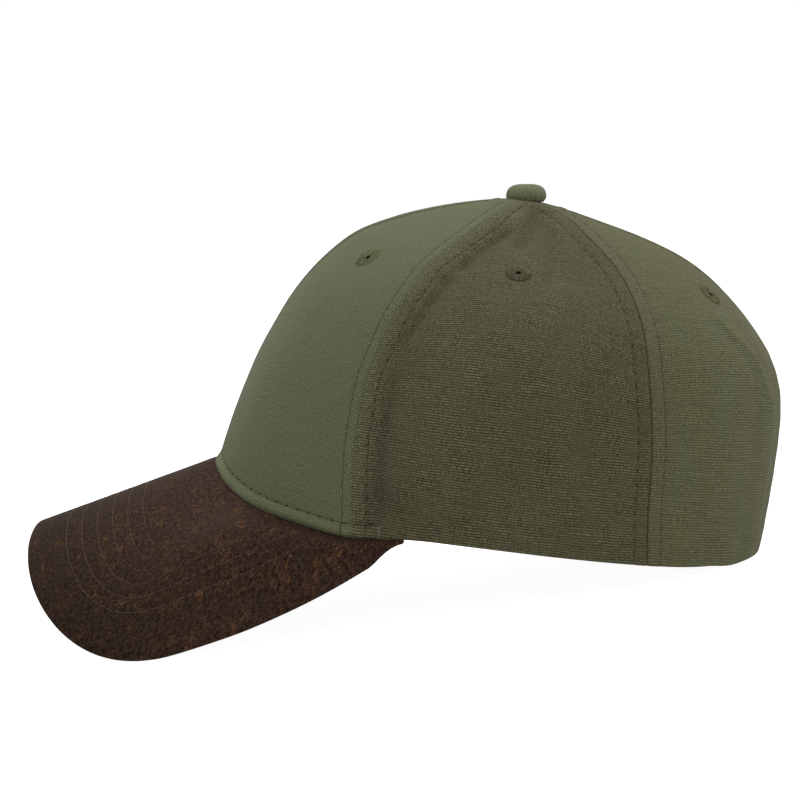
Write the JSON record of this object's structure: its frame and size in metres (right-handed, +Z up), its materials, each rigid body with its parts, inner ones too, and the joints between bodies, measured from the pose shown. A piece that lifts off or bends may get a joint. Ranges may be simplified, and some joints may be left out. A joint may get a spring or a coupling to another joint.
{
  "type": "six-panel cap",
  "caption": "Cotton canvas cap with a panelled crown, covered button, stitched eyelets and a curved leather-look peak; closed back.",
  "frame": {"origin": "on the surface that the cap rests on, below the centre of its bounding box", "axes": "+Z up, +Y towards the back of the cap, the peak points to -Y, +X towards the wearer's left"},
  "size_m": [0.1758, 0.2834, 0.1475],
  "materials": {
    "crown_canvas": "matte olive cotton canvas",
    "button_canvas": "matte olive cotton canvas over a dome",
    "eyelet_thread": "olive embroidery thread",
    "peak_leather": "distressed dark brown, waxy"
  },
  "bodies": {
    "root": {"front_panel_left": "crown_canvas", "front_panel_right": "crown_canvas", "side_panel_left": "crown_canvas", "side_panel_right": "crown_canvas", "back_panel_left": "crown_canvas", "back_panel_right": "crown_canvas", "top_button": "button_canvas", "eyelet_front_left": "eyelet_thread", "eyelet_front_right": "eyelet_thread", "eyelet_side_left": "eyelet_thread", "eyelet_side_right": "eyelet_thread", "eyelet_back_left": "eyelet_thread", "eyelet_back_right": "eyelet_thread", "peak": "peak_leather"}
  },
  "joints": []
}
